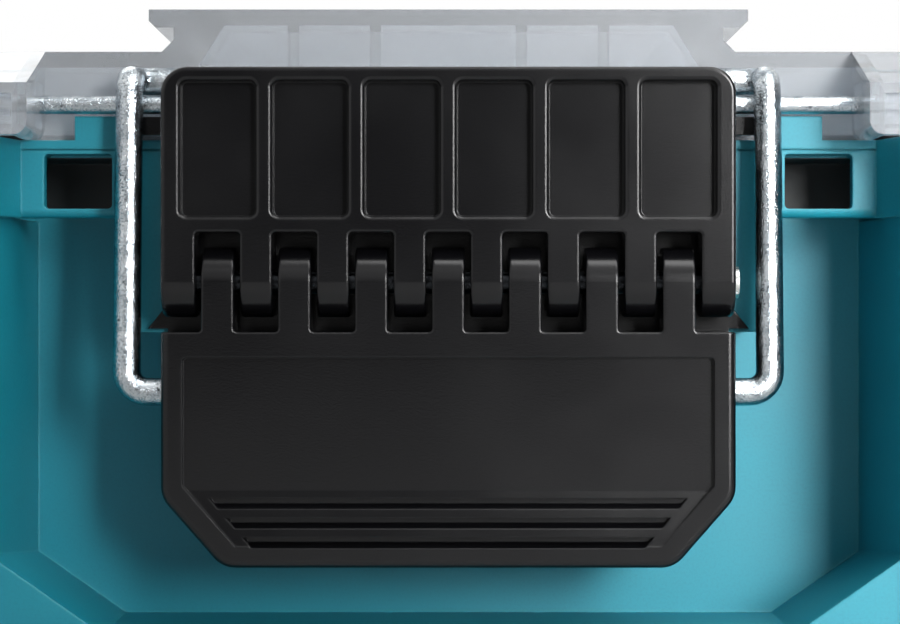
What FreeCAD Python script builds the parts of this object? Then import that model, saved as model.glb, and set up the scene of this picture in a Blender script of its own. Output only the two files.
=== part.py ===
import FreeCAD, Part
import math
import os
from FreeCAD import Vector

# Compartment storage box: a moulded tub with lift-out bins, a clear hinged lid, two draw latches and a
# folding handle. Millimetres, +Z up, the front faces -Y, the origin is the middle of the base.

# Overall sizes
BOX_WIDTH = 560.0
BOX_DEPTH = 380.0
RIM_HEIGHT = 97.0
LID_HEIGHT = 16.0
CORNER_RADIUS = 20.0
WALL = 3.0
OVERRUN = 2.0
REST_GAP = 0.3
RUNNING_GAP = 0.05

# Tub
RIM_OVERHANG = 7.0
FLANGE_HEIGHT = 13.6
BASE_RECESS = 8.2
FLOOR = 3.0
TOE_HEIGHT = 12.0
FLANGE_SETBACK = 16.0
BAY_STEP = 20.0
BAY_WIDTH = 150.0
BAY_FLARE = 4.0
BAY_CORNER_RISE = 14.0
BAY_CORNER_RUN = 20.0
PILLAR_WIDTH = 18.0
LATCH_SPREAD_SHARE = 31 / 112
WINDOW_WIDTH = 11.9
WINDOW_HEIGHT = 9.6
WINDOW_SILL = 1.6
WINDOW_SPREAD = 64.9
WINDOW_RADIUS = 0.8
FLANGE_ROUND = 1.5
RIM_LINE_DROP = 1.9
RIM_LINE_WIDTH = 0.35
RIM_LINE_DEPTH = 0.4
TAB_INNER = 57.5
TAB_OUTER = 65.5
TAB_HEIGHT = 4.2
PAD_WIDTH = 112.0
PAD_DROP = 20.0
PAD_CHAMFER = 2.0
SIDE_RIB_PITCH = 42.0
SIDE_RIB_COUNT = 7
SIDE_RIB_WIDTH = 4.0

# Stacking rails on the lid and the slots under the tub that take them
RAIL_HEIGHT = 7.5
RAIL_FLANGE_WIDTH = 106.2
RAIL_STEM_WIDTH = 97.4
RAIL_FLANGE = 3.2
RAIL_CHAMFER = 2.1
RAIL_TIP = 1.2
RAIL_SLANT = 6.0
RAIL_REAR_MARGIN = 24.0
RAIL_CLEARANCE = 1.0
RAIL_RIB = 2.0
RAIL_RIB_SPREADS = (13.0, 27.6)
SLOT_RAIL = 4.0

# Lid
LID_WALL = 2.8
LID_SKIN = 2.6
LID_EDGE_ROUND = 1.6
LID_BEVEL_RISE = 7.2
LID_BEVEL_RUN = 21.0
NOTCH_WIDTH = 142.8
NOTCH_SETBACK = 5.0
NOTCH_ROUND = 2.4
KEEPER_BOSS_WIDTH = 10.0
KEEPER_BOSS_DEPTH = 11.0
KEEPER_BOSS_RISE = 4.0
LID_GROOVE_COUNT = 2
LID_GROOVE_LENGTH = 28.0
LID_GROOVE_RISE = 3.6
LID_GROOVE_PITCH = 2.8
LID_GROOVE_WIDTH = 1.2
LID_GROOVE_DEPTH = 1.0
GASKET_HEIGHT = 2.0
GASKET_WIDTH = 4.0
GASKET_INSET = 1.0
RIB_WIDTH = 3.0

# Lid hinges
HINGE_SPREAD_SHARE = 37 / 112
HINGE_BARREL_RADIUS = 5.0
HINGE_PIN_RADIUS = 2.5
HINGE_GAP = 2.0
HINGE_EAR_WIDTH = 12.0
HINGE_KNUCKLE_WIDTH = 26.0
HINGE_EAR_DROP = 14.0
HINGE_END_GAP = 0.5

# Draw latch, measured from its hinge pin
LATCH_WIDTH = 98.0
PIN_HEIGHT = 72.0
PIN_SETOUT = 8.0
PIN_RADIUS = 2.0
PIN_HEAD_RADIUS = 2.7
PIN_HEAD = 0.9
BARREL_RADIUS = 6.0
KNUCKLE_PITCH = 13.1
LEVER_KNUCKLES = 7
LEVER_KNUCKLE_WIDTH = 5.6
BASE_KNUCKLE_WIDTH = 5.5
WEB_OFFSET = 8.5
SLOT_RADIUS = 0.6
SLOT_ROUND = 0.4

BASE_TOP = 36.7
BASE_THICKNESS = 6.0
BASE_CORNER_RADIUS = 4.6
BASE_ROUND = 0.7
POCKETS = 6
POCKET_PITCH = 15.7
POCKET_WIDTH = 12.8
POCKET_TOP_MARGIN = 2.4
POCKET_BOTTOM = 11.2
POCKET_DEPTH = 2.6
POCKET_RADIUS = 1.1
BASE_WEB = 3.0
BASE_WEB_SPREADS = (-42.0, -21.0, 0.0, 21.0, 42.0)
BASE_PAD = 1.6
BASE_PAD_DROP = 11.5
LEDGE_WIDTH = 108.0
LEDGE_TOP = 29.0
LEDGE_LOW = 25.8
WING_WIDTH = 105.0
WING_DROP = 8.0
WING_RISE = 4.4
BOSS_SPREAD = 31.5
BOSS_RADIUS = 4.2
SCREW_RADIUS = 1.75
SCREW_HEAD_RADIUS = 3.4
SCREW_HEAD = 2.2
SCREW_BITE = 7.0

LEVER_DROP = 48.7
LEVER_THICKNESS = 8.0
LEVER_CHAMFER_RUN = 10.5
LEVER_CHAMFER_RISE = 12.0
LEVER_CORNER_RADIUS = 5.0
LEVER_ROUND = 1.3
PANEL_TOP = 12.8
PANEL_MARGIN = 3.7
PANEL_DEPTH = 1.4
PANEL_RADIUS = 0.8
RAMP_TOP = 35.6
RAMP_BOTTOM = 46.0
GRIP_TOP = 36.9
GRIP_PITCH = 3.3
GRIP_STEPS = 3
GRIP_HEIGHT = 1.8
GRIP_LIP = 0.9
GRIP_DEPTH = 1.0
GRIP_SIDE = 8.2
LEVER_SKIN = 4.6
LEVER_RIM = 3.2
LEVER_RIB = 2.0
LEVER_RIB_SPREADS = (-24.0, 0.0, 24.0)

KEEPER_RADIUS = 1.6
KEEPER_BITE = 7.0
KEEPER_RISE = 31.1
KEEPER_SETOUT = 0.8
BAIL_RADIUS = 2.4
BAIL_WIDTH = 110.6
BAIL_BEND = 3.6
HOOK_BEND = 3.2
HOOK_RUN = 0.1
BAIL_PIVOT_DROP = 18.8
BAIL_PIVOT_SETOUT = 1.2
BAIL_FOOT = 7.0
FOOT_BOSS = 10.4

# Folding handle
HANDLE_END_GAP = 4.0
HANDLE_ARM = 13.0
HANDLE_GRIP = 17.0
HANDLE_REACH = 44.0
HANDLE_THICKNESS = 15.0
HANDLE_PIVOT_HEIGHT = 72.0
HANDLE_PIVOT_SETOUT = 5.0
HANDLE_CORNER_RADIUS = 13.0
HANDLE_INNER_RADIUS = 7.0
HANDLE_ROUND = 3.0
HANDLE_PIN_RADIUS = 3.0
HANDLE_PIN_BITE = 8.0

# Bins
BIN_COLUMNS = 5
BIN_GAP = 0.8
BIN_HEIGHT = 82.0
BIN_WALL = 1.6
BIN_TAPER = 2.0
BIN_LIP = 2.4
BIN_LIP_HEIGHT = 3.0
DIVIDER = 1.8
DIVIDER_DROP = 6.0

# Derived places
HALF_WIDTH = BOX_WIDTH / 2
LATCH_SPREAD = BOX_WIDTH * LATCH_SPREAD_SHARE
HINGE_SPREAD = BOX_WIDTH * HINGE_SPREAD_SHARE
HANDLE_BAY_WIDTH = 2 * (LATCH_SPREAD - BAY_WIDTH / 2 - PILLAR_WIDTH)
HANDLE_WIDTH = HANDLE_BAY_WIDTH - 2 * HANDLE_END_GAP
FRONT = -BOX_DEPTH / 2
FLANGE_Y = FRONT + FLANGE_SETBACK
BAY_Y = FLANGE_Y + BAY_STEP
HINGE_Y = BOX_DEPTH / 2 - HINGE_BARREL_RADIUS
REAR = HINGE_Y - HINGE_BARREL_RADIUS - HINGE_GAP
BODY_HALF = HALF_WIDTH - RIM_OVERHANG
BODY_REAR = REAR - RIM_OVERHANG
BODY_RADIUS = CORNER_RADIUS - RIM_OVERHANG
FLANGE_Z = RIM_HEIGHT - FLANGE_HEIGHT
FLOOR_Z = BASE_RECESS + FLOOR
LID_TOP = RIM_HEIGHT + LID_HEIGHT
RAIL_TOP = LID_TOP + RAIL_HEIGHT
LID_BAY_Y = FLANGE_Y + NOTCH_SETBACK
CAVITY_HALF = BODY_HALF - WALL
CAVITY_FRONT = BAY_Y + WALL
CAVITY_REAR = BODY_REAR - WALL
CAVITY_RADIUS = BODY_RADIUS - WALL
BIN_RADIUS = CAVITY_RADIUS
PIN_Y = FLANGE_Y - PIN_SETOUT
LATCH_FRONT = PIN_Y - BARREL_RADIUS
BAIL_PIVOT_Y = PIN_Y - BAIL_PIVOT_SETOUT
BAIL_PIVOT_Z = PIN_HEIGHT - BAIL_PIVOT_DROP
KEEPER_Y = FLANGE_Y - KEEPER_SETOUT
KEEPER_Z = PIN_HEIGHT + KEEPER_RISE
HOOK_REACH = KEEPER_RADIUS + BAIL_RADIUS + REST_GAP
HANDLE_Y = FLANGE_Y - HANDLE_PIVOT_SETOUT
SIDES = (("left", -1), ("right", 1))


# Shape helpers
def block(x0, x1, y0, y1, z0, z1):
    return Part.makeBox(x1 - x0, y1 - y0, z1 - z0, Vector(x0, y0, z0))


def rod_x(radius, x0, x1, y, z):
    return Part.makeCylinder(radius, x1 - x0, Vector(x0, y, z), Vector(1, 0, 0))


def rod_y(radius, y0, y1, x, z):
    return Part.makeCylinder(radius, y1 - y0, Vector(x, y0, z), Vector(0, 1, 0))


def fused(shapes):
    return shapes[0].fuse(shapes[1:]).removeSplitter()


def cut(shape, tools):
    return shape.cut(tools).removeSplitter()


def rounded_wire(points, radii):
    """A closed wire through the points, with each corner turned by an arc of its own radius."""
    edges = []
    ends = []
    count = len(points)
    for i in range(count):
        corner = points[i]
        back = (points[i - 1] - corner).normalize()
        on = (points[(i + 1) % count] - corner).normalize()
        radius = radii[i]
        if not radius:
            ends.append((corner, corner, None))
            continue
        half = back.getAngle(on) / 2
        reach = radius / math.tan(half)
        centre = corner + (back + on).normalize() * (radius / math.sin(half))
        middle = centre + (corner - centre).normalize() * radius
        ends.append((corner + back * reach, corner + on * reach, middle))
    for i in range(count):
        start, stop, middle = ends[i]
        if middle is not None:
            edges.append(Part.Arc(start, middle, stop).toShape())
        edges.append(Part.LineSegment(stop, ends[(i + 1) % count][0]).toShape())
    return Part.Wire(edges)


def prism(points, radii, along):
    return Part.Face(rounded_wire(points, radii)).extrude(along)


def plan_prism(x0, x1, y0, y1, z0, z1, radius):
    """An upright block with its four vertical corners rounded."""
    points = [Vector(x0, y0, z0), Vector(x1, y0, z0), Vector(x1, y1, z0), Vector(x0, y1, z0)]
    return prism(points, [radius] * len(points), Vector(0, 0, z1 - z0))


def front_prism(outline, radii, y0, y1):
    """A block with an outline of (x, z) pairs, running from y0 back to y1."""
    points = [Vector(x, y0, z) for x, z in outline]
    return prism(points, radii, Vector(0, y1 - y0, 0))


def side_prism(outline, radii, x0, x1):
    """A block with an outline of (y, z) pairs, running from x0 across to x1."""
    points = [Vector(x0, y, z) for y, z in outline]
    return prism(points, radii, Vector(x1 - x0, 0, 0))


def softened(shape, radius, wanted):
    """The shape with the edges that wanted() picks rounded off."""
    return shape.makeFillet(radius, [edge for edge in shape.Edges if wanted(edge)])


def on_plane(axis, place):
    """Picks the edges that lie in one plane square to an axis."""
    def picked(edge):
        low = getattr(edge.BoundBox, axis + "Min")
        high = getattr(edge.BoundBox, axis + "Max")
        return abs(low - place) < RUNNING_GAP and abs(high - place) < RUNNING_GAP
    return picked


def moved_x(shape, offset):
    copy = shape.copy()
    copy.translate(Vector(offset, 0, 0))
    return copy


# Tub
def bay_prism(centre, half, grow, y_back, z0, z1):
    """The space of a front bay: flared side walls, open at the front."""
    inner = half + grow
    flare = inner + BAY_FLARE
    front = FRONT - OVERRUN
    back = y_back + grow
    points = [Vector(centre - flare, front, z0), Vector(centre + flare, front, z0),
              Vector(centre + inner, back, z0), Vector(centre - inner, back, z0)]
    return prism(points, [0] * len(points), Vector(0, 0, z1 - z0))


def front_bays(grow):
    """The two latch bays and the handle bay, each grown by a wall where the core keeps clear of them."""
    spaces = []
    low = TOE_HEIGHT - grow
    for _, sign in SIDES:
        centre = sign * LATCH_SPREAD
        half = BAY_WIDTH / 2
        spaces.append(bay_prism(centre, half, grow, BAY_Y, low, FLANGE_Z))
        spaces.append(bay_prism(centre, half, grow, FLANGE_Y, FLANGE_Z, RIM_HEIGHT + OVERRUN))
    spaces.append(bay_prism(0, HANDLE_BAY_WIDTH / 2, grow, BAY_Y, low, FLANGE_Z))
    return spaces


def front_core():
    """Coring from below that leaves the front corners, pillars and rim beam as even walls."""
    core = plan_prism(-CAVITY_HALF, CAVITY_HALF, FRONT + WALL, BAY_Y, -OVERRUN, RIM_HEIGHT - WALL, 0)
    inside = plan_prism(-CAVITY_HALF, CAVITY_HALF, FRONT + WALL, BODY_REAR, -OVERRUN, RIM_HEIGHT,
                        BODY_RADIUS - WALL)
    return core.common(inside).cut(front_bays(WALL))


def stacking_slot(centre):
    """The two undercut rails below the floor that hold the next box's lid rail."""
    rails = []
    inner = RAIL_FLANGE_WIDTH / 2 + RAIL_CLEARANCE
    lip = RAIL_STEM_WIDTH / 2 + RAIL_CLEARANCE
    lip_height = RAIL_HEIGHT - RAIL_FLANGE - RAIL_CLEARANCE
    for sign in (-1, 1):
        wall = sorted((centre + sign * inner, centre + sign * (inner + SLOT_RAIL)))
        foot = sorted((centre + sign * lip, centre + sign * (inner + SLOT_RAIL)))
        rails.append(block(wall[0], wall[1], BAY_Y, BODY_REAR, 0, BASE_RECESS))
        rails.append(block(foot[0], foot[1], BAY_Y, BODY_REAR, 0, lip_height))
    return rails


def mount_pad(centre):
    """The hollow step behind a latch, flush with the rim beam above it."""
    low = FLANGE_Z - PAD_DROP
    pads = []
    for inset, top in ((0, 0), (WALL, OVERRUN)):
        side = PAD_WIDTH / 2 - inset
        bottom = low + inset
        outline = [(centre - side, FLANGE_Z + top), (centre - side, bottom + PAD_CHAMFER),
                   (centre - side + PAD_CHAMFER, bottom), (centre + side - PAD_CHAMFER, bottom),
                   (centre + side, bottom + PAD_CHAMFER), (centre + side, FLANGE_Z + top)]
        pads.append(front_prism(outline, [0] * len(outline), FLANGE_Y + inset, BAY_Y))
    return pads[0].cut(pads[1])


def bay_gussets(centre):
    """The sloping fillets in the two lower corners of a latch bay."""
    shapes = []
    for sign in (-1, 1):
        corner = centre + sign * (BAY_WIDTH / 2 + BAY_FLARE)
        outline = [(corner, TOE_HEIGHT), (corner - sign * BAY_CORNER_RUN, TOE_HEIGHT),
                   (corner, TOE_HEIGHT + BAY_CORNER_RISE)]
        shapes.append(front_prism(outline, [0] * len(outline), FRONT + WALL, BAY_Y))
    return shapes


def hinge_ears(centre):
    shapes = []
    for sign in (-1, 1):
        inner = HINGE_KNUCKLE_WIDTH / 2 + HINGE_END_GAP
        span = sorted((centre + sign * inner, centre + sign * (inner + HINGE_EAR_WIDTH)))
        outline = [(BODY_REAR, RIM_HEIGHT - HINGE_EAR_DROP), (HINGE_Y, RIM_HEIGHT - HINGE_BARREL_RADIUS),
                   (HINGE_Y, RIM_HEIGHT), (BODY_REAR, RIM_HEIGHT)]
        web = side_prism(outline, [0] * len(outline), span[0], span[1])
        barrel = rod_x(HINGE_BARREL_RADIUS, span[0], span[1], HINGE_Y, RIM_HEIGHT)
        shapes.append(web.fuse(barrel))
    return shapes


def flange_window(x):
    """The opening in the rim beam beside a latch, with rounded corners."""
    half = WINDOW_WIDTH / 2
    low = FLANGE_Z + WINDOW_SILL
    outline = [(x - half, low), (x + half, low), (x + half, low + WINDOW_HEIGHT), (x - half, low + WINDOW_HEIGHT)]
    return front_prism(outline, [WINDOW_RADIUS] * len(outline), FLANGE_Y - OVERRUN, FLANGE_Y + WALL + OVERRUN)


def flange_foot(centre, side):
    """What comes off the lower front edge of the rim beam to round it, beside the step behind the latch."""
    x0, x1 = sorted((centre + side * PAD_WIDTH / 2, centre + side * BAY_WIDTH / 2))
    y, z = FLANGE_Y + FLANGE_ROUND, FLANGE_Z + FLANGE_ROUND
    corner = block(x0, x1, FLANGE_Y - OVERRUN, y, FLANGE_Z - OVERRUN, z)
    return corner.cut(rod_x(FLANGE_ROUND, x0, x1, y, z))


def make_tub():
    rim = plan_prism(-HALF_WIDTH, HALF_WIDTH, FRONT, REAR, FLANGE_Z, RIM_HEIGHT, CORNER_RADIUS)
    body = plan_prism(-BODY_HALF, BODY_HALF, FRONT, BODY_REAR, 0, FLANGE_Z, BODY_RADIUS)
    groove = plan_prism(-HALF_WIDTH + WALL, HALF_WIDTH - WALL, FRONT + WALL, REAR - WALL,
                        FLANGE_Z - OVERRUN, RIM_HEIGHT - WALL, CORNER_RADIUS - WALL)
    keep = plan_prism(-BODY_HALF, BODY_HALF, FRONT, BODY_REAR, FLANGE_Z - OVERRUN, RIM_HEIGHT, BODY_RADIUS)
    cavity = plan_prism(-CAVITY_HALF, CAVITY_HALF, CAVITY_FRONT, CAVITY_REAR, FLOOR_Z,
                        RIM_HEIGHT + OVERRUN, CAVITY_RADIUS)
    recess = plan_prism(-CAVITY_HALF, CAVITY_HALF, BAY_Y, CAVITY_REAR, -OVERRUN, BASE_RECESS, CAVITY_RADIUS)
    tools = [groove.cut(keep), cavity, recess, front_core()] + front_bays(0)
    tub = cut(rim.fuse(body), tools)
    added = []
    windows = []
    for _, sign in SIDES:
        centre = sign * LATCH_SPREAD
        added += stacking_slot(centre) + bay_gussets(centre) + hinge_ears(sign * HINGE_SPREAD)
        added.append(mount_pad(centre))
        slot_half = RAIL_FLANGE_WIDTH / 2 + RAIL_CLEARANCE
        windows.append(block(centre - slot_half, centre + slot_half, CAVITY_REAR - OVERRUN,
                             BODY_REAR + OVERRUN, -OVERRUN, BASE_RECESS))
        for side in (-1, 1):
            span = sorted((centre + side * TAB_INNER, centre + side * TAB_OUTER))
            added.append(block(span[0], span[1], FLANGE_Y, FLANGE_Y + WALL, RIM_HEIGHT,
                               RIM_HEIGHT + TAB_HEIGHT))
            windows += [flange_window(centre + side * WINDOW_SPREAD), flange_foot(centre, side)]
            hole = centre + side * BOSS_SPREAD
            windows.append(rod_y(SCREW_RADIUS + REST_GAP, FLANGE_Y - OVERRUN, FLANGE_Y + WALL + OVERRUN,
                                 hole, FLANGE_Z + FLANGE_HEIGHT / 2))
        rim_line = RIM_HEIGHT - RIM_LINE_DROP
        windows.append(block(centre - BAY_WIDTH / 2, centre + BAY_WIDTH / 2, FLANGE_Y - OVERRUN,
                             FLANGE_Y + RIM_LINE_DEPTH, rim_line, rim_line + RIM_LINE_WIDTH))
        bay_side = HANDLE_BAY_WIDTH / 2
        span = sorted((sign * (bay_side - OVERRUN), sign * (bay_side + HANDLE_PIN_BITE)))
        windows.append(rod_x(HANDLE_PIN_RADIUS, span[0], span[1], HANDLE_Y, HANDLE_PIVOT_HEIGHT))
        ears = HINGE_KNUCKLE_WIDTH / 2 + HINGE_EAR_WIDTH + OVERRUN
        windows.append(rod_x(HINGE_PIN_RADIUS, sign * HINGE_SPREAD - ears, sign * HINGE_SPREAD + ears,
                             HINGE_Y, RIM_HEIGHT))
        gap = HINGE_KNUCKLE_WIDTH / 2 + HINGE_END_GAP
        windows.append(block(sign * HINGE_SPREAD - gap, sign * HINGE_SPREAD + gap, REAR, HINGE_Y,
                             RIM_HEIGHT - HINGE_BARREL_RADIUS, RIM_HEIGHT))
        for rib in range(SIDE_RIB_COUNT):
            y = (rib - (SIDE_RIB_COUNT - 1) / 2) * SIDE_RIB_PITCH
            span = sorted((sign * BODY_HALF, sign * (HALF_WIDTH - WALL)))
            added.append(block(span[0], span[1], y - SIDE_RIB_WIDTH / 2, y + SIDE_RIB_WIDTH / 2,
                               TOE_HEIGHT, RIM_HEIGHT - WALL))
    return cut(tub.fuse(added), windows)


# Lid
def lid_notch(centre, grow):
    half = NOTCH_WIDTH / 2 + grow
    return block(centre - half, centre + half, FRONT - OVERRUN, LID_BAY_Y + grow,
                 RIM_HEIGHT - OVERRUN, LID_TOP + OVERRUN)


def notch_foot(edge):
    """Picks the lower edges of the lid walls on either side of a latch."""
    box = edge.BoundBox
    low = on_plane("Z", RIM_HEIGHT)(edge)
    beside = abs(abs(abs(box.Center.x) - LATCH_SPREAD) - NOTCH_WIDTH / 2) < RUNNING_GAP
    return low and beside and box.XLength < RUNNING_GAP


def rail_outline(centre):
    stem = RAIL_STEM_WIDTH / 2
    flange = RAIL_FLANGE_WIDTH / 2
    under = RAIL_TOP - RAIL_FLANGE
    right = [(stem + RAIL_CHAMFER, LID_TOP), (stem, LID_TOP + RAIL_CHAMFER), (stem, under),
             (flange - RAIL_TIP, under), (flange, under + RAIL_TIP), (flange, RAIL_TOP)]
    left = [(-x, z) for x, z in reversed(right)]
    return [(centre + x, z) for x, z in right + left]


def ring(grow, width, z0, z1):
    """A band that follows the tub's mouth, set out from its edge."""
    outer = grow + width
    out = plan_prism(-CAVITY_HALF - outer, CAVITY_HALF + outer, CAVITY_FRONT - outer, CAVITY_REAR + outer,
                     z0, z1, CAVITY_RADIUS + outer)
    hole = plan_prism(-CAVITY_HALF - grow, CAVITY_HALF + grow, CAVITY_FRONT - grow, CAVITY_REAR + grow,
                      z0 - OVERRUN, z1 + OVERRUN, CAVITY_RADIUS + grow)
    return out.cut(hole)


def rail_hollows(centre):
    """Coring inside a stacking rail, ahead of and behind the sealing rib, with two pairs of cross ribs."""
    half = RAIL_STEM_WIDTH / 2 - LID_WALL
    top = RAIL_TOP - LID_SKIN
    low = LID_TOP - LID_SKIN - OVERRUN
    rib_front = CAVITY_FRONT - GASKET_INSET - GASKET_WIDTH
    narrow = half - RAIL_SLANT
    whole = [(centre - half, low), (centre + half, low), (centre + narrow, top), (centre - narrow, top)]
    radii = [0] * len(whole)
    shapes = [front_prism(whole, radii, CAVITY_FRONT, CAVITY_REAR - RAIL_REAR_MARGIN)]
    ahead = front_prism(whole, radii, LID_BAY_Y + LID_WALL, rib_front)
    ribs = sorted(sign * spread for spread in RAIL_RIB_SPREADS for sign in (-1, 1))
    starts = [-half] + [rib + RAIL_RIB / 2 for rib in ribs]
    stops = [rib - RAIL_RIB / 2 for rib in ribs] + [half]
    for x0, x1 in zip(starts, stops):
        bay = block(centre + x0, centre + x1, LID_BAY_Y, rib_front, low, top)
        shapes.append(ahead.common(bay))
    return shapes


def lid_grooves(centre):
    """The short level grooves on the lid's front, on both sides of a latch."""
    shapes = []
    start = NOTCH_WIDTH / 2 + LID_WALL
    for side in (-1, 1):
        span = sorted((centre + side * start, centre + side * (start + LID_GROOVE_LENGTH)))
        for i in range(LID_GROOVE_COUNT):
            z = RIM_HEIGHT + LID_GROOVE_RISE + i * LID_GROOVE_PITCH
            shapes.append(block(span[0], span[1], FRONT - OVERRUN, FRONT + LID_GROOVE_DEPTH,
                                z - LID_GROOVE_WIDTH / 2, z + LID_GROOVE_WIDTH / 2))
    return shapes


def lid_bevel(z):
    """The space above the lid's sloping front edge, where z is the height of the flat behind it."""
    fall = LID_BEVEL_RISE * (LID_BEVEL_RUN + OVERRUN) / LID_BEVEL_RUN
    outline = [(FRONT - OVERRUN, z - fall), (FRONT + LID_BEVEL_RUN, z),
               (FRONT + LID_BEVEL_RUN, LID_TOP + OVERRUN), (FRONT - OVERRUN, LID_TOP + OVERRUN)]
    return side_prism(outline, [0] * len(outline), -HALF_WIDTH, HALF_WIDTH)


def make_lid():
    shell = plan_prism(-HALF_WIDTH, HALF_WIDTH, FRONT, REAR, RIM_HEIGHT, LID_TOP, CORNER_RADIUS)
    shell = softened(shell, LID_EDGE_ROUND, on_plane("Z", LID_TOP)).cut(lid_bevel(LID_TOP))
    inside = plan_prism(-HALF_WIDTH + LID_WALL, HALF_WIDTH - LID_WALL, FRONT + LID_WALL, REAR - LID_WALL,
                        RIM_HEIGHT - OVERRUN, LID_TOP - LID_SKIN, CORNER_RADIUS - LID_WALL)
    inside = inside.cut(lid_bevel(LID_TOP - LID_SKIN))
    notches = [lid_notch(sign * LATCH_SPREAD, 0) for _, sign in SIDES]
    walls = [lid_notch(sign * LATCH_SPREAD, LID_WALL) for _, sign in SIDES]
    lid = softened(shell.cut(notches + [inside.cut(walls)]), NOTCH_ROUND, notch_foot)
    added = [ring(GASKET_INSET + (GASKET_WIDTH - RIB_WIDTH) / 2, RIB_WIDTH, RIM_HEIGHT + GASKET_HEIGHT,
                  LID_TOP - LID_SKIN)]
    tools = []
    for _, sign in SIDES:
        centre = sign * LATCH_SPREAD
        outline = rail_outline(centre)
        added.append(front_prism(outline, [0] * len(outline), LID_BAY_Y, CAVITY_REAR))
        tools += rail_hollows(centre) + lid_grooves(centre)
        for side in (-1, 1):
            edge = NOTCH_WIDTH / 2
            span = sorted((centre + side * edge, centre + side * (edge + KEEPER_BOSS_WIDTH)))
            ahead, behind = KEEPER_Y - KEEPER_BOSS_DEPTH / 2, KEEPER_Y + KEEPER_BOSS_DEPTH / 2
            added.append(block(span[0], span[1], ahead, behind, RIM_HEIGHT + NOTCH_ROUND,
                               KEEPER_Z + KEEPER_BOSS_RISE))
        bite = NOTCH_WIDTH / 2 + KEEPER_BITE
        tools.append(rod_x(KEEPER_RADIUS, centre - bite, centre + bite, KEEPER_Y, KEEPER_Z))
        hinge = sign * HINGE_SPREAD
        half = HINGE_KNUCKLE_WIDTH / 2
        web = [(REAR - LID_WALL, RIM_HEIGHT + HINGE_END_GAP), (HINGE_Y, RIM_HEIGHT + HINGE_END_GAP),
               (HINGE_Y, RIM_HEIGHT + HINGE_BARREL_RADIUS), (REAR - LID_WALL, LID_TOP - LID_SKIN)]
        added.append(side_prism(web, [0] * len(web), hinge - half, hinge + half))
        added.append(rod_x(HINGE_BARREL_RADIUS, hinge - half, hinge + half, HINGE_Y, RIM_HEIGHT))
        tools.append(rod_x(HINGE_PIN_RADIUS + RUNNING_GAP, hinge - half - OVERRUN, hinge + half + OVERRUN,
                           HINGE_Y, RIM_HEIGHT))
    return cut(lid.fuse(added), tools)


def make_gasket():
    return ring(GASKET_INSET, GASKET_WIDTH, RIM_HEIGHT, RIM_HEIGHT + GASKET_HEIGHT)


def make_keeper_rod(centre):
    reach = NOTCH_WIDTH / 2 + KEEPER_BITE
    return rod_x(KEEPER_RADIUS, centre - reach, centre + reach, KEEPER_Y, KEEPER_Z)


def make_hinge_pin(centre):
    reach = HINGE_KNUCKLE_WIDTH / 2 + HINGE_END_GAP + HINGE_EAR_WIDTH
    return rod_x(HINGE_PIN_RADIUS, centre - reach, centre + reach, HINGE_Y, RIM_HEIGHT)


# Draw latch, made about x = 0 and moved to its bay
def knuckle_centres(count):
    return [(i - (count - 1) / 2) * KNUCKLE_PITCH for i in range(count)]


def comb(side, count, width):
    """The edge of a latch plate seen from the front: fingers that reach the pin, and slots between them."""
    web_z = PIN_HEIGHT + side * WEB_OFFSET
    outline, radii = [], []
    for x in knuckle_centres(count):
        outline += [(x - width / 2, web_z), (x - width / 2, PIN_HEIGHT), (x + width / 2, PIN_HEIGHT),
                    (x + width / 2, web_z)]
        radii += [SLOT_RADIUS, 0, 0, SLOT_RADIUS]
    return outline, radii


def barrels(spans):
    return [rod_x(BARREL_RADIUS, x0, x1, PIN_Y, PIN_HEIGHT) for x0, x1 in spans]


def finger_edges(reach):
    """Picks the front edges of the fingers and slots that lie within reach of the middle, not the pin line."""
    front = on_plane("Y", LATCH_FRONT)
    pin_line = on_plane("Z", PIN_HEIGHT)

    def picked(edge):
        box = edge.BoundBox
        inside = max(-box.XMin, box.XMax) < reach
        arc = box.XLength < RUNNING_GAP and box.YMin < PIN_Y - PIN_RADIUS and box.ZLength > BARREL_RADIUS
        level = abs(box.Center.z - PIN_HEIGHT) < WEB_OFFSET + RUNNING_GAP
        return inside and level and (front(edge) or arc) and not pin_line(edge)
    return picked


def base_foot():
    """The plate behind the base: wings at the sides, a deep middle, and a ledge above the tub's rim."""
    half = LATCH_WIDTH / 2
    ledge = LEDGE_WIDTH / 2
    wing = WING_WIDTH / 2
    wing_low = PIN_HEIGHT - WING_DROP
    right = [(half, PIN_HEIGHT - BASE_PAD_DROP), (half, wing_low), (wing, wing_low), (half, wing_low + WING_RISE),
             (half, PIN_HEIGHT + LEDGE_LOW), (ledge, PIN_HEIGHT + LEDGE_LOW), (ledge, PIN_HEIGHT + LEDGE_TOP)]
    outline = right + [(-x, z) for x, z in reversed(right)]
    return front_prism(outline, [0] * len(outline), FLANGE_Y - BASE_PAD, FLANGE_Y)


def base_pockets():
    pockets = []
    for i in range(POCKETS):
        x = (i - (POCKETS - 1) / 2) * POCKET_PITCH
        x0, x1 = x - POCKET_WIDTH / 2, x + POCKET_WIDTH / 2
        z0, z1 = PIN_HEIGHT + POCKET_BOTTOM, PIN_HEIGHT + BASE_TOP - POCKET_TOP_MARGIN
        corners = [(x0, z0), (x1, z0), (x1, z1), (x0, z1)]
        pockets.append(front_prism(corners, [POCKET_RADIUS] * len(corners), LATCH_FRONT - OVERRUN,
                                   LATCH_FRONT + POCKET_DEPTH))
    return pockets


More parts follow.
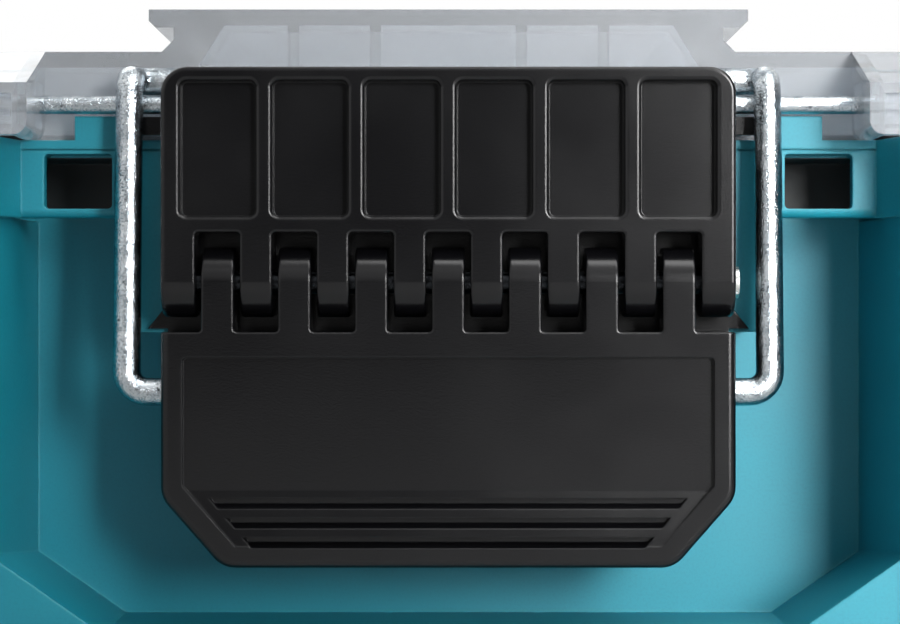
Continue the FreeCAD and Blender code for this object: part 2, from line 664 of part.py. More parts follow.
def make_base():
    half = LATCH_WIDTH / 2
    top = PIN_HEIGHT + BASE_TOP
    back = LATCH_FRONT + BASE_THICKNESS
    edge_line, radii = comb(1, LEVER_KNUCKLES + 1, BASE_KNUCKLE_WIDTH)
    outline = [(-half, PIN_HEIGHT)] + edge_line[2:-2] + [(half, PIN_HEIGHT), (half, top), (-half, top)]
    corners = [0] + radii[2:-2] + [0, BASE_CORNER_RADIUS, BASE_CORNER_RADIUS]
    plate = front_prism(outline, corners, LATCH_FRONT, back)
    ends = [x for x, z in outline if z == PIN_HEIGHT]
    plate = plate.fuse(barrels(zip(ends[0::2], ends[1::2]))).removeSplitter()
    plate = softened(plate, SLOT_ROUND, finger_edges(half - RUNNING_GAP)).cut(base_pockets())
    front = on_plane("Y", LATCH_FRONT)

    def outer(edge):
        box = edge.BoundBox
        return front(edge) and (box.ZMin > PIN_HEIGHT + WEB_OFFSET + SLOT_ROUND or box.XMin > half - RUNNING_GAP
                                or box.XMax < RUNNING_GAP - half)

    plate = softened(plate, BASE_ROUND, outer)
    pieces = [plate, base_foot()]
    for x in BASE_WEB_SPREADS:
        pieces.append(block(x - BASE_WEB / 2, x + BASE_WEB / 2, back, FLANGE_Y, FLANGE_Z, RIM_HEIGHT))
    holes = [rod_x(PIN_RADIUS, -half - OVERRUN, half + OVERRUN, PIN_Y, PIN_HEIGHT)]
    for side in (-1, 1):
        z = FLANGE_Z + FLANGE_HEIGHT / 2
        pieces.append(rod_y(BOSS_RADIUS, back, FLANGE_Y, side * BOSS_SPREAD, z))
        holes.append(rod_y(SCREW_RADIUS, FLANGE_Y - SCREW_BITE, FLANGE_Y + OVERRUN, side * BOSS_SPREAD, z))
    return cut(fused(pieces), holes)


def lever_outline(inset, top):
    """The lever's front view below its web, set in by one margin, with cut lower corners."""
    half = LATCH_WIDTH / 2 - inset
    low = PIN_HEIGHT - LEVER_DROP + inset
    turn = math.atan2(LEVER_CHAMFER_RISE, LEVER_CHAMFER_RUN) / 2
    run = LEVER_CHAMFER_RUN - inset * math.tan(turn) * LEVER_CHAMFER_RUN / LEVER_CHAMFER_RISE
    rise = run * LEVER_CHAMFER_RISE / LEVER_CHAMFER_RUN
    return [(-half, top), (-half, low + rise), (-half + run, low), (half - run, low), (half, low + rise),
            (half, top)]


def finger_recess():
    """The recess in the lever's front: flat above, then a ramp that comes out to the front face below."""
    top = PIN_HEIGHT - PANEL_TOP
    half = LATCH_WIDTH / 2
    outline = lever_outline(PANEL_MARGIN, top)
    radii = [PANEL_RADIUS, 0, 0, 0, 0, PANEL_RADIUS]
    ahead = LATCH_FRONT - OVERRUN
    deep = LATCH_FRONT + PANEL_DEPTH
    ramp_top = PIN_HEIGHT - RAMP_TOP
    ramp_low = PIN_HEIGHT - RAMP_BOTTOM
    profile = [(ahead, top), (deep, top), (deep, ramp_top), (LATCH_FRONT, ramp_low), (ahead, ramp_low)]
    slab = side_prism(profile, [0] * len(profile), -half, half)
    return front_prism(outline, radii, ahead, deep).common(slab)


def grip_grooves():
    """The finger grooves across the ramp, each with ends that follow the lever's cut corners."""
    shapes = []
    half = LATCH_WIDTH / 2
    ahead = LATCH_FRONT - OVERRUN
    deep = LATCH_FRONT + PANEL_DEPTH + GRIP_DEPTH
    slope = LEVER_CHAMFER_RUN / LEVER_CHAMFER_RISE
    fall = PANEL_DEPTH / (RAMP_BOTTOM - RAMP_TOP)
    for i in range(GRIP_STEPS):
        top = PIN_HEIGHT - GRIP_TOP - i * GRIP_PITCH
        low = top - GRIP_HEIGHT
        face = LATCH_FRONT + (low - PIN_HEIGHT + RAMP_BOTTOM) * fall
        profile = [(ahead, top), (deep, top), (deep, top - GRIP_LIP), (face, low), (ahead, low)]
        bar = side_prism(profile, [0] * len(profile), -half, half)
        wide = half - GRIP_SIDE - i * GRIP_PITCH * slope
        narrow = wide - GRIP_HEIGHT * slope
        ends = [(-wide, top), (-narrow, low), (narrow, low), (wide, top)]
        shapes.append(bar.common(front_prism(ends, [0] * len(ends), ahead, deep)))
    return shapes


def make_lever():
    half = LATCH_WIDTH / 2
    web_z = PIN_HEIGHT - WEB_OFFSET
    back = LATCH_FRONT + LEVER_THICKNESS
    edge_line, radii = comb(-1, LEVER_KNUCKLES, LEVER_KNUCKLE_WIDTH)
    radius = LEVER_CORNER_RADIUS
    corners = [0, radius, radius, radius, radius, 0] + radii
    plate = front_prism(lever_outline(0, web_z) + edge_line[::-1], corners, LATCH_FRONT, back)
    reach = LEVER_KNUCKLE_WIDTH / 2
    plate = plate.fuse(barrels([(x - reach, x + reach) for x in knuckle_centres(LEVER_KNUCKLES)])).removeSplitter()
    front = on_plane("Y", LATCH_FRONT)
    plate = softened(plate, LEVER_ROUND, lambda edge: front(edge) and edge.BoundBox.ZMax < web_z + RUNNING_GAP
                     and edge.BoundBox.ZMin < web_z - SLOT_RADIUS)
    plate = softened(plate, SLOT_ROUND, finger_edges(half - RUNNING_GAP))
    plate = plate.cut([finger_recess()] + grip_grooves())
    hollow = lever_outline(LEVER_RIM, web_z - LEVER_RIM)
    keep = [block(x - LEVER_RIB / 2, x + LEVER_RIB / 2, LATCH_FRONT, back, PIN_HEIGHT - LEVER_DROP, web_z)
            for x in LEVER_RIB_SPREADS]
    for side in (-1, 1):
        span = sorted((side * half, side * (half - BAIL_FOOT - LEVER_RIM)))
        keep.append(block(span[0], span[1], LATCH_FRONT, back, BAIL_PIVOT_Z - FOOT_BOSS / 2,
                          BAIL_PIVOT_Z + FOOT_BOSS / 2))
    pocket = front_prism(hollow, [0] * len(hollow), LATCH_FRONT + LEVER_SKIN, back + OVERRUN).cut(keep)
    holes = [rod_x(PIN_RADIUS + RUNNING_GAP, -half, half, PIN_Y, PIN_HEIGHT)]
    for side in (-1, 1):
        span = sorted((side * (half + OVERRUN), side * (half - BAIL_FOOT - REST_GAP)))
        holes.append(rod_x(BAIL_RADIUS + RUNNING_GAP, span[0], span[1], BAIL_PIVOT_Y, BAIL_PIVOT_Z))
    return cut(plate, [pocket] + holes)


def make_latch_pin():
    reach = LATCH_WIDTH / 2
    shaft = rod_x(PIN_RADIUS, -reach, reach, PIN_Y, PIN_HEIGHT)
    head = rod_x(PIN_HEAD_RADIUS, reach, reach + PIN_HEAD, PIN_Y, PIN_HEIGHT)
    return shaft.fuse(head).removeSplitter()


def bail_corners():
    """The corners of one side of the bail: its foot, the front of its hook and the end of its top bar."""
    foot = Vector(0, BAIL_PIVOT_Y, BAIL_PIVOT_Z)
    ahead = Vector(0, KEEPER_Y - HOOK_REACH, KEEPER_Z)
    leg = (ahead - foot).normalize()
    rise = KEEPER_Z + HOOK_REACH - BAIL_PIVOT_Z
    hook = foot + leg * (rise / leg.z)
    run = HOOK_BEND * math.tan(leg.getAngle(Vector(0, 1, 0)) / 2) + HOOK_BEND + HOOK_RUN
    return foot, hook, hook + Vector(0, run, 0)


def make_bail():
    """One bent wire: feet in the lever, legs ahead of the keeper rod, and a bar bent back over the rod."""
    side = Vector(BAIL_WIDTH / 2, 0, 0)
    foot, hook, bar = bail_corners()
    inner = Vector(LATCH_WIDTH / 2 - BAIL_FOOT, 0, 0)
    points = [foot - inner, foot - side, hook - side, bar - side,
              bar + side, hook + side, foot + side, foot + inner]
    bends = [BAIL_BEND, HOOK_BEND, HOOK_BEND, HOOK_BEND, HOOK_BEND, BAIL_BEND]
    edges = []
    last = points[0]
    for i, radius in enumerate(bends):
        corner = points[i + 1]
        back = (points[i] - corner).normalize()
        on = (points[i + 2] - corner).normalize()
        half = back.getAngle(on) / 2
        reach = radius / math.tan(half)
        middle = corner + (back + on).normalize() * (radius / math.sin(half) - radius)
        start, stop = corner + back * reach, corner + on * reach
        edges.append(Part.LineSegment(last, start).toShape())
        edges.append(Part.Arc(start, middle, stop).toShape())
        last = stop
    edges.append(Part.LineSegment(last, points[-1]).toShape())
    wire_end = Part.makeCircle(BAIL_RADIUS, points[0], Vector(1, 0, 0))
    return Part.Wire(edges).makePipeShell([Part.Wire(wire_end)], True, False)


def make_screws():
    shapes = []
    z = FLANGE_Z + FLANGE_HEIGHT / 2
    inner = FLANGE_Y + WALL
    for _, sign in SIDES:
        for side in (-1, 1):
            x = sign * LATCH_SPREAD + side * BOSS_SPREAD
            shank = rod_y(SCREW_RADIUS, FLANGE_Y - SCREW_BITE, inner, x, z)
            head = rod_y(SCREW_HEAD_RADIUS, inner, inner + SCREW_HEAD, x, z)
            shapes.append(shank.fuse(head).removeSplitter())
    return Part.Compound(shapes)


# Folding handle
def make_handle():
    half = HANDLE_WIDTH / 2
    eye = HANDLE_THICKNESS / 2
    low = HANDLE_PIVOT_HEIGHT - HANDLE_REACH - HANDLE_GRIP / 2
    top = HANDLE_PIVOT_HEIGHT
    outer = [(-half, top), (-half, low), (half, low), (half, top)]
    inner = [(-half + HANDLE_ARM, top + OVERRUN), (-half + HANDLE_ARM, low + HANDLE_GRIP),
             (half - HANDLE_ARM, low + HANDLE_GRIP), (half - HANDLE_ARM, top + OVERRUN)]
    y0, y1 = HANDLE_Y - eye, HANDLE_Y + eye
    bow = front_prism(outer, [0, HANDLE_CORNER_RADIUS, HANDLE_CORNER_RADIUS, 0], y0, y1)
    gap = front_prism(inner, [0, HANDLE_INNER_RADIUS, HANDLE_INNER_RADIUS, 0], y0 - OVERRUN, y1 + OVERRUN)
    bow = bow.cut(gap)
    flat = on_plane("Z", top)
    faces = [on_plane("Y", y0), on_plane("Y", y1)]
    bow = softened(bow, HANDLE_ROUND, lambda edge: any(face(edge) for face in faces) and not flat(edge))
    pieces = [bow]
    holes = []
    for side in (-1, 1):
        span = sorted((side * half, side * (half - HANDLE_ARM)))
        pieces.append(rod_x(eye, span[0], span[1], HANDLE_Y, top))
        holes.append(rod_x(HANDLE_PIN_RADIUS + RUNNING_GAP, span[0] - OVERRUN, span[1] + OVERRUN,
                           HANDLE_Y, top))
    return cut(fused(pieces), holes)


def make_handle_pin(sign):
    inner = HANDLE_WIDTH / 2 - HANDLE_ARM
    span = sorted((sign * inner, sign * (HANDLE_BAY_WIDTH / 2 + HANDLE_PIN_BITE)))
    return rod_x(HANDLE_PIN_RADIUS, span[0], span[1], HANDLE_Y, HANDLE_PIVOT_HEIGHT)


# Bins and dividers
def bin_wire(box, inset, radius, z):
    x0, x1, y0, y1 = box
    points = [Vector(x0 + inset, y0 + inset, z), Vector(x1 - inset, y0 + inset, z),
              Vector(x1 - inset, y1 - inset, z), Vector(x0 + inset, y1 - inset, z)]
    return rounded_wire(points, [radius] * len(points))


def tapered(box, inset, z0, z1):
    foot = bin_wire(box, inset + BIN_LIP + BIN_TAPER, BIN_RADIUS - inset, z0)
    mouth = bin_wire(box, inset + BIN_LIP, BIN_RADIUS - inset, z1)
    return Part.makeLoft([foot, mouth], True, True)


def make_bin(box):
    """An open cup with tapered walls, a floor and a turned-out lip."""
    top = FLOOR_Z + BIN_HEIGHT
    cup = tapered(box, 0, FLOOR_Z, top)
    lip = Part.Face(bin_wire(box, 0, BIN_RADIUS, top - BIN_LIP_HEIGHT)).extrude(Vector(0, 0, BIN_LIP_HEIGHT))
    hollow = tapered(box, BIN_WALL, FLOOR_Z + BIN_WALL, top + OVERRUN)
    mouth = Part.Face(bin_wire(box, BIN_LIP + BIN_WALL, BIN_RADIUS - BIN_WALL, top - BIN_LIP_HEIGHT
                               - OVERRUN)).extrude(Vector(0, 0, BIN_LIP_HEIGHT + OVERRUN + OVERRUN))
    return cut(cup.fuse(lip), [hollow, mouth])


def make_divider(box):
    """A flat plate across the middle of a double bin, with its edges following the tapered walls."""
    x0, x1, y0, y1 = box
    inset = BIN_LIP + BIN_WALL + BIN_TAPER + REST_GAP
    top = FLOOR_Z + BIN_HEIGHT - DIVIDER_DROP
    low = FLOOR_Z + BIN_WALL
    rise = (top - low) / BIN_HEIGHT * BIN_TAPER
    outline = [(y0 + inset, low), (y1 - inset, low), (y1 - inset + rise, top), (y0 + inset - rise, top)]
    middle = (x0 + x1) / 2
    return side_prism(outline, [0] * len(outline), middle - DIVIDER / 2, middle + DIVIDER / 2)


def bin_places():
    """Each bin's name and plan: a front row of singles, and doubles either side of a single behind."""
    pitch = 2 * CAVITY_HALF / BIN_COLUMNS
    depth = (CAVITY_REAR - CAVITY_FRONT) / 2
    gap = BIN_GAP / 2
    last = BIN_COLUMNS // 2
    places = {}

    def plan(first, count, row):
        x0 = -CAVITY_HALF + first * pitch
        y0 = CAVITY_FRONT + row * depth
        return (x0 + gap, x0 + count * pitch - gap, y0 + gap, y0 + depth - gap)

    for column in range(BIN_COLUMNS):
        places["bin_front_%d" % (column + 1)] = plan(column, 1, 0)
    places["bin_rear_left"] = plan(0, last, 1)
    places["bin_rear_middle"] = plan(last, 1, 1)
    places["bin_rear_right"] = plan(last + 1, last, 1)
    return places


def build():
    parts = {"tub": make_tub(), "lid": make_lid(), "lid_gasket": make_gasket(), "latch_screws": make_screws(),
             "carry_handle": make_handle()}
    base, lever, pin, bail = make_base(), make_lever(), make_latch_pin(), make_bail()
    for side, sign in SIDES:
        offset = sign * LATCH_SPREAD
        parts["latch_base_" + side] = moved_x(base, offset)
        parts["latch_lever_" + side] = moved_x(lever, offset)
        parts["latch_pin_" + side] = moved_x(pin, offset)
        parts["latch_bail_" + side] = moved_x(bail, offset)
        parts["keeper_rod_" + side] = make_keeper_rod(offset)
        parts["lid_hinge_pin_" + side] = make_hinge_pin(sign * HINGE_SPREAD)
        parts["handle_pin_" + side] = make_handle_pin(sign)
    places = bin_places()
    for name, box in places.items():
        parts[name] = make_bin(box)
    for side, _ in SIDES:
        parts["bin_divider_" + side] = make_divider(places["bin_rear_" + side])
    return parts


os.makedirs("parts", exist_ok=True)
for node, shape in build().items():
    shape.exportStep(os.path.join("parts", node + ".step"))
    print(node, shape.isValid(), len(shape.Solids), round(shape.Volume, 1))
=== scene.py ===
import math

import bpy
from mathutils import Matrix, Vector


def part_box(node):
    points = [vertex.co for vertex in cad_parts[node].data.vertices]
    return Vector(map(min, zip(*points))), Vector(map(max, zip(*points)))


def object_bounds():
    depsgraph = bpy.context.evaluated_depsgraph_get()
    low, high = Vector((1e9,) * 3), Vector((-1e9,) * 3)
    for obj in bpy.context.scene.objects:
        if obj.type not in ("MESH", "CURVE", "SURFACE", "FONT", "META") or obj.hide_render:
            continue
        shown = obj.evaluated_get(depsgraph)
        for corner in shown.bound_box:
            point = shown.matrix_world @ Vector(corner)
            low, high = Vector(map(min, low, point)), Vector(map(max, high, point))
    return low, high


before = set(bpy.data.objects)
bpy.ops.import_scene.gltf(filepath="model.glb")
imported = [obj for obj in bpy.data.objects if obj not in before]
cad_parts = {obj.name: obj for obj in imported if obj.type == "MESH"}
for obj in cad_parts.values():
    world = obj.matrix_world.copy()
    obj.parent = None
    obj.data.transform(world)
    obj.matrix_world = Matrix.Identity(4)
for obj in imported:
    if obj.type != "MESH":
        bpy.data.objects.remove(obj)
cad_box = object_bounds()

# Compartment storage box, seen close to one of its draw latches. Metres, +Z up, the front at -Y.

MM = 0.001

# Where the camera stood, from the latch in the photograph
SHOWN_LATCH = "latch_lever_left"
CAMERA_DISTANCE = 450 * MM
CAMERA_ABOVE_LEVER_FOOT = 43.6 * MM
CAMERA_ASIDE = 0.28 * MM
CAMERA_NEAREST = 10 * MM
PHOTO_FIELD = 153 * MM
SENSOR = 36.0

# The hollow in the rim beam behind the windows, where shade is painted on its walls: its depth from
# the tub's front
BEAM_FACE = 18.9 * MM
BEAM_BACK = 36.5 * MM

# The same hollow's heights, and its reach to either side of a latch
BEAM_LOW = 84.9 * MM
BEAM_ROOF = 94.2 * MM
BEAM_HALF = 74 * MM

# How much of a latch pin's end is bright steel
PIN_HEAD_SHOWN = 1.4 * MM

# Colours in screen values from 0 to 255, in pairs where a noise blends two of them
TEAL = ((14, 128, 146), (20, 137, 155))
TEAL_GRAIN = (13, 118, 135)
TEAL_EDGE = (88, 172, 184)
# Painted shade for the walls inside the rim beam, behind its windows
BEAM_PAINTED_SHADE = (4, 16, 19)
BLACK = ((8, 8, 10), (11, 11, 13))
BLACK_EDGE = (58, 60, 64)
CLEAR = ((226, 231, 236), (238, 241, 245))
ZINC = ((176, 186, 192), (222, 228, 232))
ZINC_SPECKLE = (78, 86, 92)
ZINC_PIT = (70, 76, 80)
STEEL = ((176, 182, 186), (216, 220, 223))
PIN_SHAFT = ((26, 27, 29), (66, 69, 73))
PIN_HEAD = (222, 224, 220)
RUBBER = ((30, 30, 31), (47, 47, 48))
BIN_GREY = ((186, 189, 191), (200, 202, 203))
BIN_SCUFF = (160, 163, 165)
BIN_EDGE = (224, 226, 227)
PALE_FLOOR = ((212, 212, 211), (220, 220, 219))

# The part of a noise's range that holds nearly all of its values, for broad and for sharp patches
BROAD = (0.3, 0.7)
SHARP = (0.35, 0.65)

PLASTIC_IOR = 1.5
LID_IOR = 1.3
LID_CLEARNESS = 0.75

# The studio's levels of light, each with the directions between which it fades in
ROOM_LIGHT = 0.03
REAR_LIGHT = 0.55
REAR_FADE = (-0.1, 0.5)
WHITE = 1.0
WHITE_FADE = (0.1, 0.4)
LEFT_PANEL = 0.85
LEFT_FADE = (-0.32, -0.2)
TOP_PANEL = 0.6
TOP_FADE = (0.5, 0.8)
CEILING = 0.4
CEILING_FADE = (0.12, 0.5)
DARK_FRONT = 0.03

FLOOR_REACH = 20.0
FLOOR_DUST = 0.25
FLOOR_ROUGHNESS = 0.7


# Node helpers
def linear(red, green, blue):
    """A colour given in screen values from 0 to 255, as the shader wants it."""
    values = []
    for value in (red, green, blue):
        share = value / 255
        values.append(share / 12.92 if share <= 0.04045 else ((share + 0.055) / 1.055) ** 2.4)
    return (*values, 1.0)


def new_finish(name):
    """A new node material: the material, its tree and its shader."""
    finish = bpy.data.materials.new(name)
    finish.use_nodes = True
    tree = finish.node_tree
    return finish, tree, tree.nodes["Principled BSDF"]


def feed(tree, node, inputs):
    """Sets each input of a node, or links it where the value comes from another node."""
    for key, value in inputs.items():
        socket = node.inputs[key]
        if isinstance(value, bpy.types.NodeSocket):
            tree.links.new(value, socket)
        else:
            socket.default_value = value


def add(tree, kind, inputs=None, **settings):
    """A node with its settings, and with each input set or linked."""
    node = tree.nodes.new(kind)
    for key, value in settings.items():
        setattr(node, key, value)
    feed(tree, node, inputs or {})
    return node


def maths(tree, operation, first, second=0.0):
    node = add(tree, "ShaderNodeMath", operation=operation)
    feed(tree, node, {0: first, 1: second})
    return node.outputs[0]


def scaled(tree, first, second):
    return maths(tree, "MULTIPLY", first, second)


def object_place(tree):
    return add(tree, "ShaderNodeTexCoord").outputs["Object"]


def split(tree, vector):
    return add(tree, "ShaderNodeSeparateXYZ", {"Vector": vector}).outputs


def cloud(tree, place, size, detail=2.0, roughness=0.5, distortion=0.0):
    """A soft noise whose blotches are about the given size."""
    node = add(tree, "ShaderNodeTexNoise", {"Vector": place, "Scale": 1 / size, "Detail": detail,
                                            "Roughness": roughness, "Distortion": distortion})
    return node.outputs["Fac"]


def spread(tree, value, low, high, start, stop):
    """A value moved from the range start to stop into the range low to high."""
    node = add(tree, "ShaderNodeMapRange", {"Value": value, "From Min": start, "From Max": stop,
                                            "To Min": low, "To Max": high})
    return node.outputs["Result"]


def patchy(tree, noise, low=0.0, high=1.0, reach=BROAD):
    """A noise brought to full contrast, in the range low to high."""
    return spread(tree, noise, low, high, *reach)


def blend_value(tree, share, first, second):
    node = add(tree, "ShaderNodeMix", data_type="FLOAT")
    feed(tree, node, {0: share, 2: first, 3: second})
    return node.outputs[0]


def blend_colour(tree, share, first, second):
    node = add(tree, "ShaderNodeMix", data_type="RGBA")
    feed(tree, node, {0: share, 6: first, 7: second})
    return node.outputs[2]


def two_tone(tree, share, pair):
    first, second = pair
    return blend_colour(tree, share, linear(*first), linear(*second))


def tinted(tree, colour, share, tint):
    return blend_colour(tree, share, colour, linear(*tint))


def worn_edges(tree, radius):
    """A mask of the edges, from how far a softened normal leaves the true one, and that normal."""
    soft = add(tree, "ShaderNodeBevel", {"Radius": radius}, samples=4).outputs["Normal"]
    true = add(tree, "ShaderNodeNewGeometry").outputs["Normal"]
    dot = add(tree, "ShaderNodeVectorMath", operation="DOT_PRODUCT")
    feed(tree, dot, {0: soft, 1: true})
    return spread(tree, dot.outputs["Value"], 1.0, 0.0, 0.75, 1.0), soft


def bumped(tree, height, depth, normal=None):
    """Fine relief from a noise, on a softened normal if one is given."""
    inputs = {"Height": height, "Distance": depth, "Strength": 1.0}
    if normal is not None:
        inputs["Normal"] = normal
    return add(tree, "ShaderNodeBump", inputs).outputs["Normal"]


def between(tree, value, low, high):
    """One where a value lies between two bounds, else zero."""
    above = maths(tree, "GREATER_THAN", value, low)
    below = maths(tree, "LESS_THAN", value, high)
    return scaled(tree, above, below)


def from_middle(tree, value, middle):
    """How far a value lies from a middle, on either side."""
    return maths(tree, "ABSOLUTE", maths(tree, "SUBTRACT", value, middle))


# Finishes
def beam_hollow_painted_shade(tree, place):
    """A mask of the walls inside the rim beam, behind the windows, where shade is painted into the
    colour.
    """
    axes = split(tree, place)
    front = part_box("tub")[0].y
    low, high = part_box("latch_lever_right")
    aside = from_middle(tree, from_middle(tree, axes["X"], 0.0), (low.x + high.x) / 2)
    depth = between(tree, axes["Y"], front + BEAM_FACE, front + BEAM_BACK)
    height = between(tree, axes["Z"], BEAM_LOW, BEAM_ROOF)
    return scaled(tree, scaled(tree, depth, height), between(tree, aside, 0.0, BEAM_HALF))


def moulded_teal():
    """Satin moulded plastic with a fine spark-eroded grain, and painted shade on the walls inside the
    rim beam.
    """
    finish, tree, shader = new_finish("moulded_teal")
    place = object_place(tree)
    flow = cloud(tree, place, 45 * MM, detail=3.0)
    grain = cloud(tree, place, 0.5 * MM)
    edges, normal = worn_edges(tree, 0.6 * MM)
    colour = two_tone(tree, patchy(tree, flow), TEAL)
    colour = tinted(tree, colour, patchy(tree, grain, high=0.5, reach=(0.45, 0.8)), TEAL_GRAIN)
    colour = tinted(tree, colour, scaled(tree, edges, 0.35), TEAL_EDGE)
    # Painted shade: the walls inside the rim beam are darkened to near black
    colour = tinted(tree, colour, beam_hollow_painted_shade(tree, place), BEAM_PAINTED_SHADE)
    feed(tree, shader, {"Base Color": colour, "Roughness": patchy(tree, flow, 0.40, 0.52),
                        "IOR": PLASTIC_IOR, "Normal": bumped(tree, grain, 0.012 * MM, normal)})
    return finish


def satin_black():
    """Glass-filled black plastic: fine grain, faint flow marks, slightly rubbed edges."""
    finish, tree, shader = new_finish("satin_black")
    place = object_place(tree)
    flow = cloud(tree, place, 22 * MM, detail=3.0)
    grain = cloud(tree, place, 0.35 * MM, detail=3.0)
    edges, normal = worn_edges(tree, 0.35 * MM)
    colour = two_tone(tree, patchy(tree, flow), BLACK)
    colour = tinted(tree, colour, scaled(tree, edges, 0.15), BLACK_EDGE)
    feed(tree, shader, {"Base Color": colour, "Roughness": patchy(tree, flow, 0.19, 0.24),
                        "IOR": PLASTIC_IOR, "Specular IOR Level": 0.42,
                        "Normal": bumped(tree, grain, 0.01 * MM, normal)})
    return finish


def clear_lid():
    """Clear moulded plastic with faint flow waves and a light haze."""
    finish, tree, shader = new_finish("clear_lid")
    place = object_place(tree)
    waves = cloud(tree, place, 18 * MM)
    haze = cloud(tree, place, 3 * MM, detail=3.0)
    feed(tree, shader, {"Base Color": two_tone(tree, waves, CLEAR),
                        "Roughness": patchy(tree, haze, 0.05, 0.14),
                        "IOR": LID_IOR, "Transmission Weight": LID_CLEARNESS,
                        "Normal": bumped(tree, waves, 0.12 * MM)})
    return finish


def galvanised_wire():
    """Zinc-plated wire: bright, with a fine crystalline skin and small dark pits."""
    finish, tree, shader = new_finish("galvanised_wire")
    place = object_place(tree)
    mottle = cloud(tree, place, 2.2 * MM, detail=4.0, roughness=0.65)
    crystals = cloud(tree, place, 0.35 * MM, roughness=0.6)
    speckle = cloud(tree, place, 0.3 * MM, roughness=0.7)
    cells = add(tree, "ShaderNodeTexVoronoi", {"Vector": place, "Scale": 1 / (2.6 * MM),
                                               "Randomness": 1.0})
    pits = spread(tree, cells.outputs["Distance"], 0.8, 0.0, 0.05, 0.14)
    colour = two_tone(tree, patchy(tree, mottle, reach=SHARP), ZINC)
    colour = tinted(tree, colour, patchy(tree, speckle, high=0.8, reach=(0.52, 0.66)), ZINC_SPECKLE)
    colour = tinted(tree, colour, pits, ZINC_PIT)
    feed(tree, shader, {"Base Color": colour, "Metallic": 1.0,
                        "Roughness": patchy(tree, mottle, 0.13, 0.24, SHARP),
                        "Normal": bumped(tree, crystals, 0.12 * MM)})
    return finish


def drawn_steel():
    """Plain bright pins: drawn along their length, with light scratches."""
    finish, tree, shader = new_finish("drawn_steel")
    place = object_place(tree)
    along = add(tree, "ShaderNodeMapping", {"Vector": place, "Scale": (0.04, 1, 1)})
    draw = cloud(tree, along.outputs["Vector"], 0.4 * MM, detail=3.0)
    stain = cloud(tree, place, 6 * MM, detail=3.0)
    feed(tree, shader, {"Base Color": two_tone(tree, patchy(tree, stain), STEEL), "Metallic": 1.0,
                        "Roughness": patchy(tree, stain, 0.18, 0.32),
                        "Normal": bumped(tree, draw, 0.006 * MM)})
    return finish


def dark_shaft_pin(name):
    """A latch pin: dark along its shaft, which shows only in the narrow gaps between the knuckles,
    and bright steel on its head.
    """
    finish, tree, shader = new_finish("dark_shaft_" + name)
    place = object_place(tree)
    stain = cloud(tree, place, 1.2 * MM, detail=3.0)
    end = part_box(name)[1].x
    head = spread(tree, split(tree, place)["X"], 0, 1, end - PIN_HEAD_SHOWN, end - PIN_HEAD_SHOWN / 2)
    colour = two_tone(tree, patchy(tree, stain, reach=SHARP), PIN_SHAFT)
    colour = tinted(tree, colour, head, PIN_HEAD)
    feed(tree, shader, {"Base Color": colour, "Metallic": 1.0,
                        "Roughness": patchy(tree, stain, 0.2, 0.38),
                        "Normal": bumped(tree, stain, 0.01 * MM)})
    return finish


def seal_rubber():
    """Dark rubber with a dull bloom."""
    finish, tree, shader = new_finish("seal_rubber")
    place = object_place(tree)
    bloom = cloud(tree, place, 8 * MM, detail=4.0)
    grain = cloud(tree, place, 0.4 * MM)
    feed(tree, shader, {"Base Color": two_tone(tree, patchy(tree, bloom), RUBBER),
                        "Roughness": patchy(tree, bloom, 0.62, 0.8),
                        "Specular IOR Level": 0.3, "Normal": bumped(tree, grain, 0.02 * MM)})
    return finish


def grey_bins():
    """Pale grey bins with a fine grain and scuffs from what they hold."""
    finish, tree, shader = new_finish("grey_bins")
    place = object_place(tree)
    flow = cloud(tree, place, 30 * MM, detail=3.0)
    grain = cloud(tree, place, 0.6 * MM)
    scuff = cloud(tree, place, 7 * MM, detail=6.0, distortion=2.5)
    edges, normal = worn_edges(tree, 0.5 * MM)
    colour = two_tone(tree, patchy(tree, flow), BIN_GREY)
    colour = tinted(tree, colour, patchy(tree, scuff, high=0.6, reach=(0.6, 0.75)), BIN_SCUFF)
    colour = tinted(tree, colour, scaled(tree, edges, 0.4), BIN_EDGE)
    feed(tree, shader, {"Base Color": colour, "Roughness": patchy(tree, flow, 0.42, 0.55),
                        "Normal": bumped(tree, grain, 0.015 * MM, normal)})
    return finish


def dress(finish, names):
    for name in names:
        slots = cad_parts[name].data.materials
        slots.clear()
        slots.append(finish)


def pairs(*kinds):
    """The names of the left and right piece of each kind."""
    return [kind + side for kind in kinds for side in ("left", "right")]


def dress_nodes():
    """Each carried-over node gets the finish of its kind."""
    dress(moulded_teal(), ["tub"])
    dress(clear_lid(), ["lid"])
    dress(seal_rubber(), ["lid_gasket"])
    dress(satin_black(), ["carry_handle"] + pairs("latch_base_", "latch_lever_"))
    dress(galvanised_wire(), pairs("latch_bail_", "keeper_rod_"))
    for name in pairs("latch_pin_"):
        dress(dark_shaft_pin(name), [name])
    dress(drawn_steel(), pairs("lid_hinge_pin_", "handle_pin_") + ["latch_screws"])
    dress(grey_bins(), [name for name in sorted(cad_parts) if name.startswith("bin_")])


# Stage
def pale_floor():
    bpy.ops.mesh.primitive_plane_add(size=2 * FLOOR_REACH, location=(0, 0, cad_box[0].z))
    floor = bpy.context.object
    floor.name = "floor"
    finish, tree, shader = new_finish("pale_floor")
    dust = cloud(tree, object_place(tree), FLOOR_DUST, detail=4.0)
    feed(tree, shader, {"Base Color": two_tone(tree, dust, PALE_FLOOR), "Roughness": FLOOR_ROUGHNESS})
    floor.data.materials.append(finish)


def studio_panels(tree, axes):
    """What gloss sees: white behind, pale panels at the left and above, and a dark front."""
    left = spread(tree, axes["X"], LEFT_PANEL, DARK_FRONT, *LEFT_FADE)
    behind = spread(tree, axes["Y"], DARK_FRONT, WHITE, *WHITE_FADE)
    above = spread(tree, axes["Z"], DARK_FRONT, TOP_PANEL, *TOP_FADE)
    return maths(tree, "MAXIMUM", maths(tree, "MAXIMUM", left, behind), above)


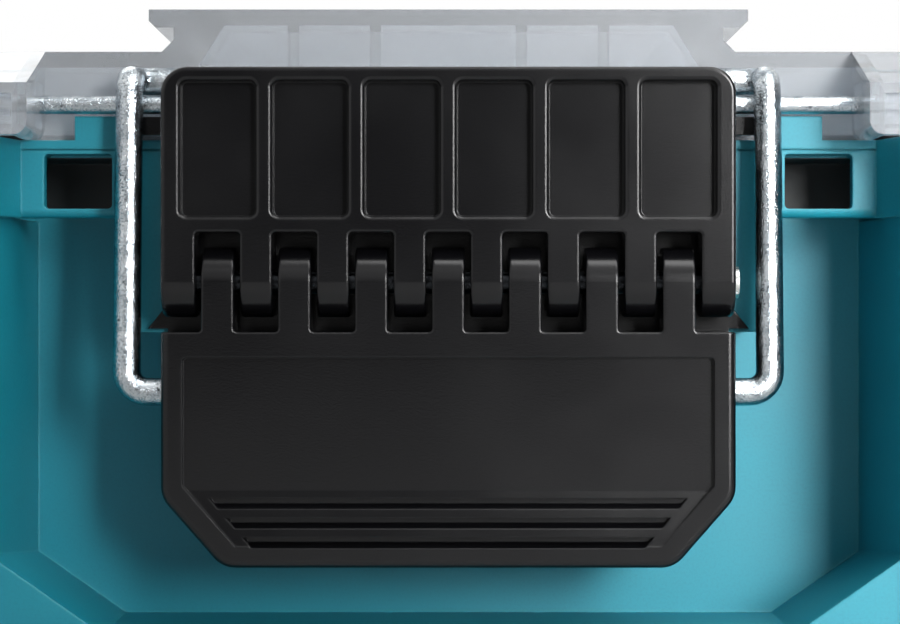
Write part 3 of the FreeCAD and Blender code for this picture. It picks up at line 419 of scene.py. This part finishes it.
def white_world():
    """White where the camera or clear plastic looks past the object, and a dim room as light."""
    world = bpy.data.worlds.new("studio")
    world.use_nodes = True
    bpy.context.scene.world = world
    tree = world.node_tree
    path = add(tree, "ShaderNodeLightPath").outputs
    axes = split(tree, add(tree, "ShaderNodeTexCoord").outputs["Generated"])
    room = spread(tree, axes["Y"], ROOM_LIGHT, REAR_LIGHT, *REAR_FADE)
    backdrop = spread(tree, axes["Z"], WHITE, CEILING, *CEILING_FADE)
    level = blend_value(tree, path["Is Glossy Ray"], room, studio_panels(tree, axes))
    level = blend_value(tree, path["Is Transmission Ray"], level, backdrop)
    level = blend_value(tree, path["Is Camera Ray"], level, WHITE)
    feed(tree, tree.nodes["Background"], {"Color": (1, 1, 1, 1), "Strength": level})


def soft_lamp(name, place, aim, size, power, beam=180):
    """A soft box with a beam of so many degrees, out of the camera's sight."""
    lamp = bpy.data.lights.new(name, "AREA")
    lamp.shape = "RECTANGLE"
    lamp.size, lamp.size_y = size
    lamp.energy = power
    lamp.spread = math.radians(beam)
    holder = bpy.data.objects.new(name, lamp)
    bpy.context.scene.collection.objects.link(holder)
    holder.location = place
    holder.rotation_mode = "QUATERNION"
    holder.rotation_quaternion = (aim - place).to_track_quat("-Z", "Y")
    holder.visible_camera = False


def studio_lamps(latch):
    """A key that fades toward the left, a soft box above at the right, and weak fills."""
    soft_lamp("key_lamp", place=latch + Vector((0.36, -0.56, 0.18)),
              aim=latch + Vector((0.15, 0, 0.05)), size=(0.3, 0.36), power=0.72, beam=36)
    soft_lamp("top_lamp", place=latch + Vector((0.3, -0.3, 0.85)),
              aim=latch, size=(0.6, 0.6), power=5.5)
    soft_lamp("front_lamp", place=latch + Vector((0.08, -0.68, 0.42)),
              aim=latch, size=(0.6, 0.5), power=0.5)
    soft_lamp("rear_lamp", place=latch + Vector((-0.3, 1.3, 1.2)),
              aim=latch, size=(1.2, 0.8), power=6)


def photo_camera(low, high):
    """Level with the latch and straight in front of it, as in the photograph."""
    data = bpy.data.cameras.new("camera")
    data.sensor_width = SENSOR
    data.lens = SENSOR * CAMERA_DISTANCE / PHOTO_FIELD
    data.clip_start = CAMERA_NEAREST
    camera = bpy.data.objects.new("camera", data)
    bpy.context.scene.collection.objects.link(camera)
    middle = (low.x + high.x) / 2 + CAMERA_ASIDE
    camera.location = (middle, low.y - CAMERA_DISTANCE, low.z + CAMERA_ABOVE_LEVER_FOOT)
    camera.rotation_euler = (math.radians(90), 0, 0)
    bpy.context.scene.camera = camera


def build_stage():
    low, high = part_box(SHOWN_LATCH)
    photo_camera(low, high)
    pale_floor()
    white_world()
    studio_lamps((low + high) / 2)
    bpy.context.scene.view_settings.view_transform = "Standard"


dress_nodes()
build_stage()
